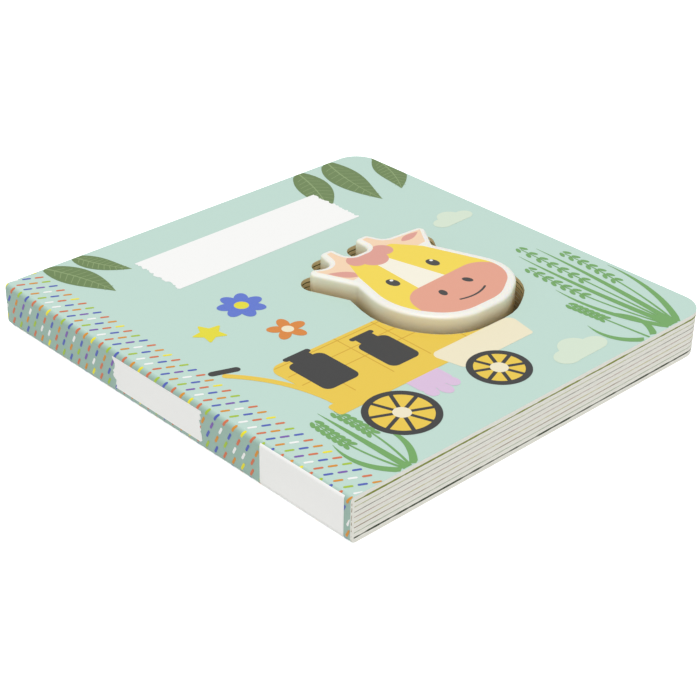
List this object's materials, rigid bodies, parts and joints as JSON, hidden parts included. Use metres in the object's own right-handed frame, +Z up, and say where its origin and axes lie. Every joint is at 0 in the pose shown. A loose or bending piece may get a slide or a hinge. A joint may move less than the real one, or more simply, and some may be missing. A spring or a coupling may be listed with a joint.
{
  "type": "squeaky board book",
  "caption": "Thick board book with a window die-cut through its front cover and leaves, round a raised squeezable vinyl head.",
  "frame": {"origin": "middle of the book's footprint, on the face it lies on", "axes": "+Z up out of the front cover, +Y towards the head of the book, -X towards the spine"},
  "size_m": [0.18, 0.1844, 0.0227],
  "materials": {
    "cover_board": "satin",
    "page_board": "matte",
    "soft_vinyl": "satin",
    "whistle_plastic": "satin",
    "reed_brass": "satin"
  },
  "bodies": {
    "back": {"back_cover": "cover_board", "squeaker_head": "soft_vinyl", "whistle_sleeve": "whistle_plastic", "whistle_shallot": "whistle_plastic", "whistle_reed": "reed_brass"},
    "leaves": {"page_block": "page_board", "cover_spine": "cover_board"},
    "front": {"front_cover": "cover_board"}
  },
  "joints": [
    {"name": "leaves_fold", "type": "hinge", "parent": "back", "child": "leaves", "pos_m": [-0.09, 0, 0.00195], "axis": [0, -1, 0], "range_deg": [0, 180]},
    {"name": "front_cover_fold", "type": "hinge", "parent": "leaves", "child": "front", "pos_m": [-0.09, 0, 0.0156], "axis": [0, -1, 0], "range_deg": [0, 180]}
  ]
}
